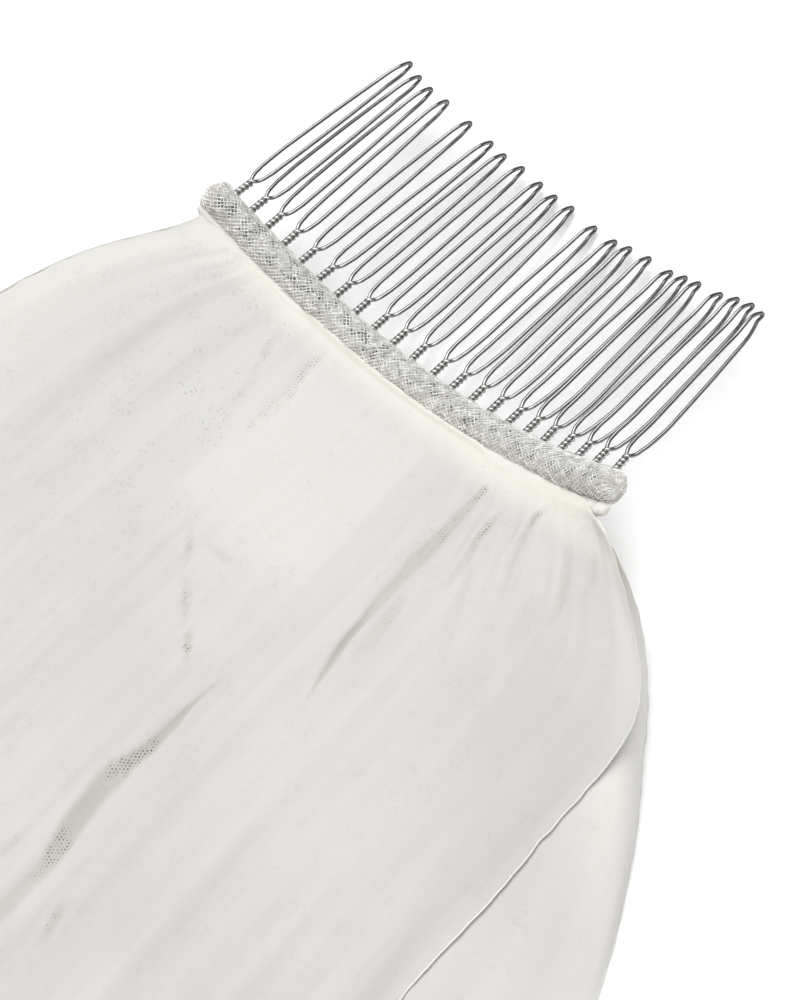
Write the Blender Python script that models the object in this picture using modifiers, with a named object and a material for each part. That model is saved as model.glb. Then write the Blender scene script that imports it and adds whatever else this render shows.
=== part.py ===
"""Two-tier bridal veil of tulle on an arched wire comb, laid flat on a surface.

Every size is in millimetres and turned to metres where a mesh is written. X runs along the
comb, +Y points the way its teeth do, and the surface is Z = 0. The comb arches upwards at its
ends. Two fan-shaped tiers of tulle leave the gathered heading behind the comb and lie on each
other, with their folds raised.
"""

import math

import bmesh
import bpy
import numpy as np

MM = 0.001
NAME = "tulle_veil"

# The comb: one steel wire bent into hairpin loops on an arched spine.
TEETH = 22
PITCH = 3.9
WIRE = 0.64
ARCH_RADIUS = 82.0
BOW = 1.0
SPINE_HEIGHT = 2.75
TIP_SLOPE = 0.036
TOOTH_TIP = 39.0
TIP_HOOK = 0.6
HOOK_LENGTH = 2.2
ROOT_CLEAR = 0.1

# Half the gap between a loop's two legs: near the root by the distance forward of the spine,
# near the tip by the distance back from the tip (mm). The shank's strands run side by side.
STRAND_APART = 0.38
LEG_NEAR_ROOT = ((5.8, STRAND_APART), (7.4, 0.9), (9.2, 1.16), (14.0, 1.25))
LEG_NEAR_TIP = ((15.0, 1.17), (7.0, 0.98), (3.0, 0.8), (0.9, 0.5), (0.2, 0.25))
# Each loop lies level and bows sideways between its root and tip: the first and the last loop's
# bow (mm), and the lengths over which it comes and goes.
LOOP_BOW = (-0.17, 0.57)
BOW_IN = 8.0
BOW_OUT = 6.0

# The net wrap is a flattened roll round the spine, and the heading a thinner one behind it.
SEAM = 0.3
WRAP_HALF_WIDTH = 2.68
WRAP_SET_BACK = 0.32
WRAP_HALF_HEIGHT = 2.55
WRAP_REACH = (-44.0, 46.2)
HEADING_HALF_WIDTH = 1.4
HEADING_HALF_HEIGHT = 1.5
HEADING_REACH = (-42.6, 45.4)
HEADING_SLANT = 0.6
HEADING_BACK = WRAP_SET_BACK + WRAP_HALF_WIDTH + SEAM + HEADING_HALF_WIDTH + HEADING_SLANT
ROLL_FULLNESS = 14

# The tulle: each tier is a wall that starts behind the heading and fans out to its hem.
WALL = 1.0
TIER_BACK = HEADING_BACK + HEADING_HALF_WIDTH + SEAM
TIER_LEFT = 41.0
TIER_RIGHT = 44.5
TIER_DROP = 1.25
HEADING_FADE = 20.0
EVEN_FAN_AFTER = 250.0
LOWER_LENGTH = 560.0
UPPER_LENGTH = 430.0
TIER_GAP = 0.9
LAY_DOWN = 26.0
LAY_DOWN_ENDS = 34.0
PUFF_HEIGHT = 4.0
PUFF_BACK = 45.0
PUFF_REACH = 80.0

# How far each side edge spreads beyond the heading: a quick spread at first, then a slow one.
# quick (mm), over (mm behind the heading), slow (mm for each mm), after (mm),
# tuck: how far it is drawn in (mm), and where most (mm behind the heading)
FAN = {
    "lower": {
        "left": (14.0, 12.0, 0.30, 80.0, 0.0, 60.0),
        "right": (22.0, 8.0, 0.30, 60.0, -20.0, 100.0),
    },
    "upper": {
        "left": (13.0, 12.0, 0.25, 150.0, 0.0, 60.0),
        "right": (36.0, 13.0, 0.25, 200.0, 11.0, 70.0),
    },
}

# The label tab lies between the tiers, caught in the heading.
LABEL_WIDTH = 28.0
LABEL_LENGTH = 32.0
LABEL_WALL = 0.6
LABEL_GAP = 0.35
LABEL_BACK = 0.5
# The room for it between the tiers ends this far outside its edges, over these lengths.
LABEL_MARGIN = (8.0, 12.0)
LABEL_FADE = (6.0, 8.0)

# Each comb loop is bent by hand a little differently.
# drift: its root along the spine, lean: its tip along the spine, reach: its tip forwards (mm)
LOOPS = (
    (0.6, 1.7, -0.2), (0.2, 0.5, -0.6), (-0.2, -0.7, -0.6), (-0.4, -1.3, -0.1),
    (-0.5, -0.1, 0.1), (-0.5, 0.8, 0.1), (-0.6, 0.0, 0.0), (-0.4, -0.2, 0.4),
    (-0.4, 0.0, 0.3), (-0.3, -0.5, 0.1), (-0.1, -0.9, 0.3), (0.3, 0.6, -0.2),
    (0.4, 1.1, -0.3), (0.5, 0.1, 0.1), (0.5, 0.2, 0.3), (0.5, 1.2, 0.0),
    (0.3, 0.2, 0.3), (0.1, -0.8, 0.4), (-0.1, 0.2, 0.2), (-0.3, -0.3, 0.5),
    (-0.4, -0.8, 0.4), (0.2, -1.5, -0.6),
)

# The raised folds of each tier, a row for each.
# side: place across the fan (-1 to 1), start and end (mm behind the heading),
# width (mm at the heading, spreading with the fan), height (mm)
LOWER_FOLDS = (
    (-0.94, 10.0, 360.0, 2.4, 2.5),
    (-0.73, 30.0, 480.0, 3.0, 3.5),
    (-0.50, 20.0, 520.0, 3.2, 3.5),
    (-0.27, 50.0, 560.0, 3.0, 3.0),
    (-0.06, 30.0, 560.0, 2.8, 3.5),
    (0.17, 60.0, 560.0, 3.2, 3.0),
    (0.39, 20.0, 560.0, 2.8, 3.5),
    (0.60, 40.0, 520.0, 3.0, 3.5),
    (0.81, 10.0, 460.0, 3.2, 3.0),
)
UPPER_FOLDS = (
    (-0.92, 0.0, 280.0, 2.8, 2.5),
    (-0.77, -20.0, 400.0, 2.6, 3.0),
    (-0.60, -20.0, 430.0, 3.2, 3.5),
    (-0.43, -10.0, 360.0, 2.8, 2.5),
    (-0.28, 10.0, 430.0, 3.2, 3.5),
    (-0.12, 20.0, 400.0, 2.8, 2.5),
    (0.08, 20.0, 430.0, 3.2, 3.5),
    (0.24, 10.0, 430.0, 2.8, 3.0),
    (0.38, -30.0, 380.0, 3.2, 3.5),
    (0.55, -30.0, 400.0, 3.0, 3.0),
    (0.72, -20.0, 400.0, 3.2, 3.0),
    (0.88, 0.0, 300.0, 3.0, 3.0),
)
FOLD_RISE = 140.0
FOLD_FALL = 90.0
FOLD_AT_HEM = 0.6

# The hem rounds up towards the side edges: shares of the length by side^2 and by side^8.
LOWER_CORNER = (0.08, 0.30)
UPPER_CORNER = (0.06, 0.30)

# Facets
LOWER_GRID = (64, 15)
UPPER_GRID = (56, 13)
LABEL_GRID = (8, 8)
ROLL_GRID = (14, 30)
ROW_CROWDING = 1.7


def smooth(t):
    """A soft step from 0 to 1 as t goes from 0 to 1."""
    t = np.clip(t, 0.0, 1.0)
    return t * t * (3.0 - 2.0 * t)


def spine(u, forward, up):
    """The point at arc length u along the comb, forward of its spine and up from it."""
    angle = u / ARCH_RADIUS
    x = (ARCH_RADIUS - up) * np.sin(angle)
    y = forward + BOW * (u / (PITCH * (TEETH - 1) / 2)) ** 2
    z = ARCH_RADIUS - (ARCH_RADIUS - up) * np.cos(angle)
    return np.stack([x, y, z + SPINE_HEIGHT - TIP_SLOPE * forward], axis=-1)


def heading_half(side):
    """Half the length of the heading that a tier hangs from, on the side that is asked."""
    return np.where(side > 0, TIER_RIGHT, TIER_LEFT)


def slanted(u):
    """How much further behind the spine the heading lies at arc length u along the comb."""
    return HEADING_SLANT * u / TIER_RIGHT


def spread(tier, back, right):
    """How far a tier's side edge has spread at a distance behind the heading."""
    quick, over, slow, after, tuck, tuck_at = FAN[tier]["right" if right else "left"]
    first = quick * (1.0 - np.exp(-back / over))
    drawn_in = tuck * back / tuck_at * np.exp(1.0 - back / tuck_at)
    return first + slow * back**2 / (back + after) - drawn_in


def fan(tier, side, back):
    """The even and the outer share of a tier's spread: X = even * side + outer * side * |side|.

    Close to the heading only the outer folds spread. Further behind it all of them do.
    """
    flare = np.where(side > 0, spread(tier, back, True), spread(tier, back, False))
    mix = back / (back + EVEN_FAN_AFTER)
    return heading_half(side) + flare * mix, flare * (1.0 - mix)


def across(tier, side, back):
    """The X of a place across the fan."""
    even, outer = fan(tier, side, back)
    return even * side + outer * side * np.abs(side)


def side_of(tier, x, back):
    """The place across the fan of a point at X, the inverse of across()."""
    even, outer = fan(tier, x, back)
    outer = np.maximum(outer, 1e-6)
    root = np.sqrt(even**2 + 4.0 * outer * np.abs(x))
    return np.sign(x) * (root - even) / (2.0 * outer)


def behind(side, back):
    """The Y of a point of a tier: along the bowed heading at first, then straight across."""
    u = side * heading_half(side)
    heading = spine(u, 0.0, 0.0)[..., 1] - slanted(u)
    return heading * np.exp(-back / HEADING_FADE) - TIER_BACK - back


def heading_height(side):
    """The height of the lower tier's underside where it leaves the heading."""
    return spine(side * heading_half(side), -TIER_BACK, -TIER_DROP)[..., 2]


def folds(rows, tier, x, back):
    """The height that a tier's raised folds add, each a soft ridge that widens with the fan."""
    total = np.zeros_like(x)
    for side, start, end, width, height in rows:
        place = np.full_like(x, side)
        even, outer = fan(tier, place, back)
        stretch = (even + 2.0 * outer * abs(side)) / heading_half(place)
        offset = np.abs(x - even * side - outer * side * abs(side)) / (width * stretch)
        ease = FOLD_AT_HEM + (1.0 - FOLD_AT_HEM) * smooth((end - back) / FOLD_FALL)
        rise = smooth((back - start) / FOLD_RISE) * ease
        total = np.maximum(total, height * (1.0 - smooth(offset)) * rise)
    return total


def lower_underside(x, back):
    """Height of the lower tier's underside: off the heading, down to the surface, folded."""
    side = np.clip(side_of("lower", x, back), -1.0, 1.0)
    lay = LAY_DOWN + LAY_DOWN_ENDS * np.abs(side)
    drape = heading_height(side) * (1.0 - smooth(back / lay))
    puff = smooth(back / PUFF_BACK) * (1.0 - smooth((back - PUFF_BACK) / PUFF_REACH))
    puff = PUFF_HEIGHT * puff * (1.0 - side**2) ** 2
    return drape + puff + folds(LOWER_FOLDS, "lower", x, back)


def above(height, x, back, wall):
    """The height of a wall's upper face, a wall's thickness along its slope."""
    step = 0.5
    slope_x = (height(x + step, back) - height(x - step, back)) / (2.0 * step)
    slope_y = (height(x, back + step) - height(x, np.maximum(back - step, 0.0))) / (2.0 * step)
    return height(x, back) + wall * np.sqrt(1.0 + slope_x**2 + slope_y**2)


def label_room(x, back):
    """The extra room between the tiers where the label tab lies."""
    beside = smooth((LABEL_WIDTH / 2 + LABEL_MARGIN[0] - np.abs(x)) / LABEL_FADE[0])
    below = smooth((LABEL_LENGTH + LABEL_MARGIN[1] - back) / LABEL_FADE[1])
    return (LABEL_WALL + LABEL_GAP) * beside * below


def upper_underside(x, back):
    """Height of the upper tier's underside: on the lower tier, with its own folds."""
    rest = above(lower_underside, x, back, WALL) + TIER_GAP
    return rest + label_room(x, back) + folds(UPPER_FOLDS, "upper", x, back)


def collection(name):
    group = bpy.data.collections.new(name)
    bpy.context.scene.collection.children.link(group)
    return group


def material(name, colour, roughness, metallic=0.0):
    """A Principled material of one colour."""
    finish = bpy.data.materials.new(name)
    finish.use_nodes = True
    shader = finish.node_tree.nodes["Principled BSDF"]
    shader.inputs["Base Color"].default_value = (*colour, 1.0)
    shader.inputs["Roughness"].default_value = roughness
    shader.inputs["Metallic"].default_value = metallic
    return finish


def add_object(name, data, finish, group):
    piece = bpy.data.objects.new(name, data)
    piece.data.materials.append(finish)
    group.objects.link(piece)
    return piece


def read_points(bm):
    return np.array([vert.co[:] for vert in bm.verts])


def write_points(bm, points):
    for vert, point in zip(bm.verts, points * MM):
        vert.co = point


def finish_mesh(name, bm, finish, group):
    mesh = bpy.data.meshes.new(name)
    bm.to_mesh(mesh)
    bm.free()
    mesh.shade_smooth()
    return add_object(name, mesh, finish, group)


def sheet(name, grid, place, wall, finish, group):
    """A wall of cloth: a grid laid out by place(across, down), thickened upwards."""
    bm = bmesh.new()
    bmesh.ops.create_grid(bm, x_segments=grid[0], y_segments=grid[1], size=1.0)
    unit = read_points(bm)
    write_points(bm, place(unit[:, 0], (1.0 - unit[:, 1]) / 2.0))
    piece = finish_mesh(name, bm, finish, group)
    thick = piece.modifiers.new("wall", "SOLIDIFY")
    thick.thickness = wall * MM
    thick.offset = 1.0
    return piece


def tier(name, key, length, corner, grid, underside, finish, group):
    """One tier of the veil, with a hem that rounds up towards its side edges."""

    def place(side, down):
        reach = length * (1.0 - corner[0] * side**2 - corner[1] * side**8)
        back = reach * down**ROW_CROWDING
        x = across(key, side, back)
        return np.stack([x, behind(side, back), underside(x, back)], axis=-1)

    return sheet(name, grid, place, WALL, finish, group)


def roll(name, reach, back, slant, half_width, half_height, finish, group):
    """A flattened roll along the comb, made from a sphere drawn out from pole to pole.

    back is its distance behind the spine, which grows by slant along the comb.
    """
    around, along = ROLL_GRID
    bm = bmesh.new()
    bmesh.ops.create_uvsphere(bm, u_segments=around, v_segments=along, radius=1.0)
    unit = read_points(bm)
    latitude = np.arcsin(np.clip(unit[:, 2], -1.0, 1.0)) / (math.pi / 2)
    ring = np.maximum(np.hypot(unit[:, 0], unit[:, 1]), 1e-9)
    fat = np.sqrt(np.clip(1.0 - np.abs(latitude) ** ROLL_FULLNESS, 0.0, 1.0)) * (ring > 1e-6)
    u = (reach[0] + reach[1]) / 2 + latitude * (reach[1] - reach[0]) / 2
    forward = half_width * fat * unit[:, 0] / ring - back - slant * u / TIER_RIGHT
    up = half_height * fat * unit[:, 1] / ring
    write_points(bm, spine(u, forward, up))
    return finish_mesh(name, bm, finish, group)


def tooth(number, loop, finish, group):
    """One hairpin loop: two strands out of the wrap, a level loop of two legs, a hooked tip."""
    drift, lean, reach = loop
    root = PITCH * (number - (TEETH - 1) / 2) + drift
    tip = TOOTH_TIP + reach
    start = WRAP_HALF_WIDTH - WRAP_SET_BACK + SEAM + ROOT_CLEAR
    near_tip = tuple((tip - back, apart) for back, apart in LEG_NEAR_TIP)
    leg = np.array(((start, STRAND_APART), *LEG_NEAR_ROOT, *near_tip))
    apart = np.concatenate([-leg[:, 1], [0.0], leg[::-1, 1]])
    forward = np.concatenate([leg[:, 0], [tip], leg[::-1, 0]])
    hook = TIP_HOOK * smooth((forward - tip + HOOK_LENGTH) / HOOK_LENGTH)
    bow = LOOP_BOW[0] + (LOOP_BOW[1] - LOOP_BOW[0]) * number / (TEETH - 1)
    bow = bow * smooth((forward - LEG_NEAR_ROOT[0][0]) / BOW_IN) * smooth((tip - forward) / BOW_OUT)
    inward = 2.0 * BOW * root / (PITCH * (TEETH - 1) / 2) ** 2
    bend = (forward - start) / (tip - start)
    u = root + bend * (lean - drift) - inward * (forward - start)
    points = spine(u, forward, -hook)
    points[:, 0] += apart + bow
    wire = bpy.data.curves.new(f"tooth_{number + 1:02d}", "CURVE")
    wire.dimensions = "3D"
    wire.bevel_depth = WIRE / 2 * MM
    wire.bevel_resolution = 2
    wire.use_fill_caps = True
    path = wire.splines.new("POLY")
    path.points.add(len(points) - 1)
    for vertex, point in zip(path.points, points * MM):
        vertex.co = (*point, 1.0)
    return add_object(wire.name, wire, finish, group)


def label_tab(finish, group):
    """A plain satin tab on the lower tier, made from that tier's upper face, moved out."""

    def place(side, down):
        x = side * LABEL_WIDTH / 2
        back = LABEL_BACK + LABEL_LENGTH * down
        height = above(lower_underside, x, back, WALL) + LABEL_GAP
        return np.stack([x, behind(side_of("lower", x, back), back), height], axis=-1)

    return sheet("label_tab", LABEL_GRID, place, LABEL_WALL, finish, group)


def build():
    for old in list(bpy.data.objects):
        bpy.data.objects.remove(old, do_unlink=True)
    group = collection(NAME)
    steel = material("steel_wire", (0.58, 0.58, 0.57), 0.25, 1.0)
    net = material("wrap_net", (0.72, 0.71, 0.68), 0.5)
    rolled = material("rolled_tulle", (0.86, 0.83, 0.76), 0.7)
    tulle = material("nylon_tulle", (0.80, 0.79, 0.76), 0.7)
    satin = material("label_satin", (0.86, 0.86, 0.84), 0.45)
    pieces = [tooth(number, loop, steel, group) for number, loop in enumerate(LOOPS)]
    pieces.append(
        roll("wrap", WRAP_REACH, WRAP_SET_BACK, 0.0, WRAP_HALF_WIDTH, WRAP_HALF_HEIGHT, net, group)
    )
    pieces.append(
        roll("heading", HEADING_REACH, HEADING_BACK, HEADING_SLANT, HEADING_HALF_WIDTH,
             HEADING_HALF_HEIGHT, rolled, group)
    )
    pieces.append(
        tier("tier_lower", "lower", LOWER_LENGTH, LOWER_CORNER, LOWER_GRID, lower_underside,
             tulle, group)
    )
    pieces.append(
        tier("tier_upper", "upper", UPPER_LENGTH, UPPER_CORNER, UPPER_GRID, upper_underside,
             tulle, group)
    )
    pieces.append(label_tab(satin, group))
    centre_on_footprint(pieces)


def mesh_points(piece, graph):
    """A piece's finished points as the viewport shows them."""
    shown = piece.evaluated_get(graph)
    mesh = shown.to_mesh()
    points = np.empty(len(mesh.vertices) * 3, dtype=np.float32)
    mesh.vertices.foreach_get("co", points)
    shown.to_mesh_clear()
    return points.reshape(-1, 3)


def centre_on_footprint(pieces):
    """Puts the origin under the middle of the whole veil's footprint."""
    bpy.context.view_layer.update()
    graph = bpy.context.evaluated_depsgraph_get()
    points = np.concatenate([mesh_points(piece, graph) for piece in pieces])
    middle = (points.min(axis=0) + points.max(axis=0)) / 2
    for piece in pieces:
        piece.location = (-middle[0], -middle[1], 0.0)


build()
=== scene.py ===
"""Looks of a two-tier tulle veil on a wire comb, laid flat on a white studio floor.

Sizes are in millimetres in the comb's own coordinates: x runs along the comb from its middle,
y forward along its teeth and z up from the floor. They are turned to metres and moved to the
comb's place in the frame where a mesh is written.
"""

import math

import bpy
import numpy as np
from mathutils import Matrix, Vector


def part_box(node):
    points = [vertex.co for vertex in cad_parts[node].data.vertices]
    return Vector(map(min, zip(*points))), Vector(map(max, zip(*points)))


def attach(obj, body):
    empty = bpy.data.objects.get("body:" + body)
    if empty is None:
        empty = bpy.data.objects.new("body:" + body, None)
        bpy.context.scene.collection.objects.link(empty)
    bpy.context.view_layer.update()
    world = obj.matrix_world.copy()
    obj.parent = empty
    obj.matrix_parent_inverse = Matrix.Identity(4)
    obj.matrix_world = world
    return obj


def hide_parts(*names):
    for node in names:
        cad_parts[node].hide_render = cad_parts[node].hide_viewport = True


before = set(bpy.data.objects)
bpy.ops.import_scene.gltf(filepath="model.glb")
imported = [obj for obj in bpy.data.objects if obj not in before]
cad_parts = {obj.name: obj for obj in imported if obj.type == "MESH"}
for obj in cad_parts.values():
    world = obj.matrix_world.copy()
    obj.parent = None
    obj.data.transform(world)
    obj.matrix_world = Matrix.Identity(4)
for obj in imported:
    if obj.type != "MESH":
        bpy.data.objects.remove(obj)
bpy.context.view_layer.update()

MM = 0.001

# The comb's middle in the frame: the wrap's left end and front edge, less their place in the
# comb's own coordinates.
WRAP_LEFT, WRAP_FRONT = -41.915, 3.073
WRAP_LOW, WRAP_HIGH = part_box("wrap")
PLACE = np.array([WRAP_LOW.x / MM - WRAP_LEFT, WRAP_HIGH.y / MM - WRAP_FRONT, 0.0])

# The comb and the tiers, with the same values as the CAD part.
TEETH, PITCH, WIRE = 22, 3.9, 0.64
ARCH_RADIUS, BOW, SPINE_HEIGHT, TIP_SLOPE = 82.0, 1.0, 2.75, 0.036
HALF_SPINE = PITCH * (TEETH - 1) / 2
TOOTH_TIP, TIP_HOOK, HOOK_LENGTH = 39.0, 0.6, 2.2
LOOP_BOW, BOW_START, BOW_IN, BOW_OUT = (-0.17, 0.57), 5.8, 8.0, 6.0
WRAP_HALF_WIDTH, WRAP_SET_BACK, WRAP_HALF_HEIGHT = 2.68, 0.32, 2.55
WRAP_REACH = (-43.9, 45.0)
HEADING_REACH, HEADING_SLANT = (-42.6, 45.4), 0.6
TIER_BACK, TIER_LEFT, TIER_RIGHT, TIER_DROP = 7.0, 41.0, 44.5, 1.25
HEADING_FADE, EVEN_FAN_AFTER = 20.0, 250.0
LOWER_LENGTH, UPPER_LENGTH = 560.0, 430.0
WALL, TIER_GAP = 1.0, 0.9
LAY_DOWN, LAY_DOWN_ENDS = 26.0, 34.0
PUFF_HEIGHT, PUFF_BACK, PUFF_REACH = 4.0, 45.0, 80.0
LABEL_WIDTH, LABEL_LENGTH, LABEL_WALL, LABEL_GAP = 28.0, 32.0, 0.6, 0.35
LABEL_BACK, LABEL_MARGIN, LABEL_FADE = 0.5, (8.0, 12.0), (6.0, 8.0)
FOLD_RISE, FOLD_FALL, FOLD_AT_HEM = 140.0, 90.0, 0.6

# The scene's own sizes: a loop's tip past the solid's, where its twisted shank starts and ends,
# the length and the softness of half a turn, and where it leaves the wrap.
TIP_PAST, SHANK_START, SHANK_END = 0.35, 1.9, 5.95
HALF_TURN, TURN_SOFT, LOOP_ROOT = 0.8, 0.2, 2.76
# The two legs: forward of the spine or back from the tip, and half the gap between them.
LEG_NEAR_ROOT = ((SHANK_START, 0.34), (5.7, 0.34), (7.2, 0.9), (9.2, 1.16), (14.0, 1.25))
LEG_NEAR_TIP = ((15.0, 1.17), (7.0, 0.95), (3.0, 0.72), (0.9, 0.46), (0.2, 0.24), (0.0, 0.0))
BEND_ROUNDED = 0.3
# At its tip a loop turns over by this angle (radians) within this length.
TIP_TURN, TIP_TURN_LENGTH = 0.9, 7.0
# The binding under the net, its slanted bands, and how far the folds are pressed near the comb.
NET_CLEAR, BAND_PITCH = 0.35, 2.6
FOLD_NEAR_COMB, FOLD_FREE_FROM, FOLD_FREE_OVER = 0.35, 85.0, 80.0
# The tulle's cell and how it is turned (degrees)
TULLE_CELL, TULLE_TURN = 0.56, 12.0
# The tiers' top edge is tucked forward onto the heading, most by this much, over this length.
TUCK, TUCK_OVER = 4.2, 6.0

# How each side edge spreads: quick (mm), over (mm), slow (mm for each mm), after (mm),
# tuck (mm) and where it is most (mm behind the heading).
FAN = {
    "lower": {
        "left": (14.0, 12.0, 0.30, 80.0, 0.0, 60.0),
        "right": (22.0, 8.0, 0.30, 60.0, -20.0, 100.0),
    },
    "upper": {
        "left": (13.0, 12.0, 0.25, 150.0, 0.0, 60.0),
        "right": (36.0, 13.0, 0.25, 200.0, 11.0, 70.0),
    },
}
# Each comb loop's drift of its root, lean of its tip and reach of its tip (mm).
LOOPS = (
    (0.6, 1.7, -0.2), (0.2, 0.5, -0.6), (-0.2, -0.7, -0.6), (-0.4, -1.3, -0.1),
    (-0.5, -0.1, 0.1), (-0.5, 0.8, 0.1), (-0.6, 0.0, 0.0), (-0.4, -0.2, 0.4),
    (-0.4, 0.0, 0.3), (-0.3, -0.5, 0.1), (-0.1, -0.9, 0.3), (0.3, 0.6, -0.2),
    (0.4, 1.1, -0.3), (0.5, 0.1, 0.1), (0.5, 0.2, 0.3), (0.5, 1.2, 0.0),
    (0.3, 0.2, 0.3), (0.1, -0.8, 0.4), (-0.1, 0.2, 0.2), (-0.3, -0.3, 0.5),
    (-0.4, -0.8, 0.4), (0.2, -1.5, -0.6),
)
# Raised folds: side (-1 to 1), start and end (mm behind the heading), width and height (mm).
LOWER_FOLDS = (
    (-0.94, 10.0, 360.0, 2.4, 2.5), (-0.73, 30.0, 480.0, 3.0, 3.5),
    (-0.50, 20.0, 520.0, 3.2, 3.5), (-0.27, 50.0, 560.0, 3.0, 3.0),
    (-0.06, 30.0, 560.0, 2.8, 3.5), (0.17, 60.0, 560.0, 3.2, 3.0),
    (0.39, 20.0, 560.0, 2.8, 3.5), (0.60, 40.0, 520.0, 3.0, 3.5),
    (0.81, 10.0, 460.0, 3.2, 3.0),
)
UPPER_FOLDS = (
    (-0.92, 0.0, 280.0, 2.8, 2.5), (-0.77, -20.0, 400.0, 2.6, 3.0),
    (-0.60, -20.0, 430.0, 3.2, 3.5), (-0.43, -10.0, 360.0, 2.8, 2.5),
    (-0.28, 10.0, 430.0, 3.2, 3.5), (-0.12, 20.0, 400.0, 2.8, 2.5),
    (0.08, 20.0, 430.0, 3.2, 3.5), (0.24, 10.0, 430.0, 2.8, 3.0),
    (0.38, -30.0, 380.0, 3.2, 3.5), (0.55, -30.0, 400.0, 3.0, 3.0),
    (0.72, -20.0, 400.0, 3.2, 3.0), (0.88, 0.0, 300.0, 3.0, 3.0),
)

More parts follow.
